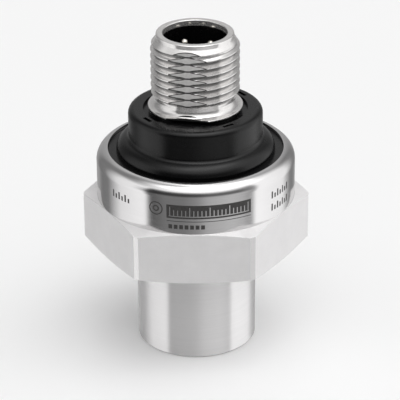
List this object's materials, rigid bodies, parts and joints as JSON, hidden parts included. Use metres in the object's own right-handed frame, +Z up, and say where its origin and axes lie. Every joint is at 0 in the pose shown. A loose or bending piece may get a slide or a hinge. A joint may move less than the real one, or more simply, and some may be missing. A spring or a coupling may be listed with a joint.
{
  "type": "pressure transmitter",
  "caption": "Compact pressure transmitter: turned steel housing with hexagon and female port, rolled collar, moulded black body and a threaded round plug with contact pins.",
  "frame": {"origin": "centre of the port spigot's lower end face, on the common axis", "axes": "+Z up along the axis from the port to the plug; the hexagon's flats face -Y and +Y, its corners +X and -X"},
  "size_m": [0.0308, 0.027, 0.0449],
  "materials": {
    "turned_steel": "turned stainless steel, fine lathe grain, satin",
    "plated_metal": "nickel plated, semi-bright",
    "black_moulding": "black glass-filled moulding, satin",
    "seal_rubber": "black elastomer",
    "cell_ceramic": "white alumina ceramic, fine matt",
    "joint_glass": "sealing glass, glossy",
    "contact_metal": "gold flash over nickel, bright",
    "spring_strip": "bronze spring strip",
    "pale_moulding": "natural unfilled moulding",
    "board_green": "green solder resist on glass laminate",
    "chip_black": "black encapsulant",
    "capacitor_tan": "tan ceramic with tinned ends"
  },
  "bodies": {
    "root": {"port_housing": "turned_steel", "cell_seal": "seal_rubber", "ceramic_diaphragm": "cell_ceramic", "glass_joint": "joint_glass", "ceramic_base": "cell_ceramic", "cell_pins": "contact_metal", "support_ring": "pale_moulding", "earth_spring": "spring_strip", "circuit_board": "board_green", "signal_chip": "chip_black", "board_capacitors": "capacitor_tan", "board_resistors": "chip_black", "surge_diode": "chip_black", "housing_seal": "seal_rubber", "connector_body": "black_moulding", "threaded_sleeve": "plated_metal", "contact_pin_1": "contact_metal", "contact_pin_2": "contact_metal", "contact_pin_3": "contact_metal", "contact_pin_4": "contact_metal"}
  },
  "joints": []
}
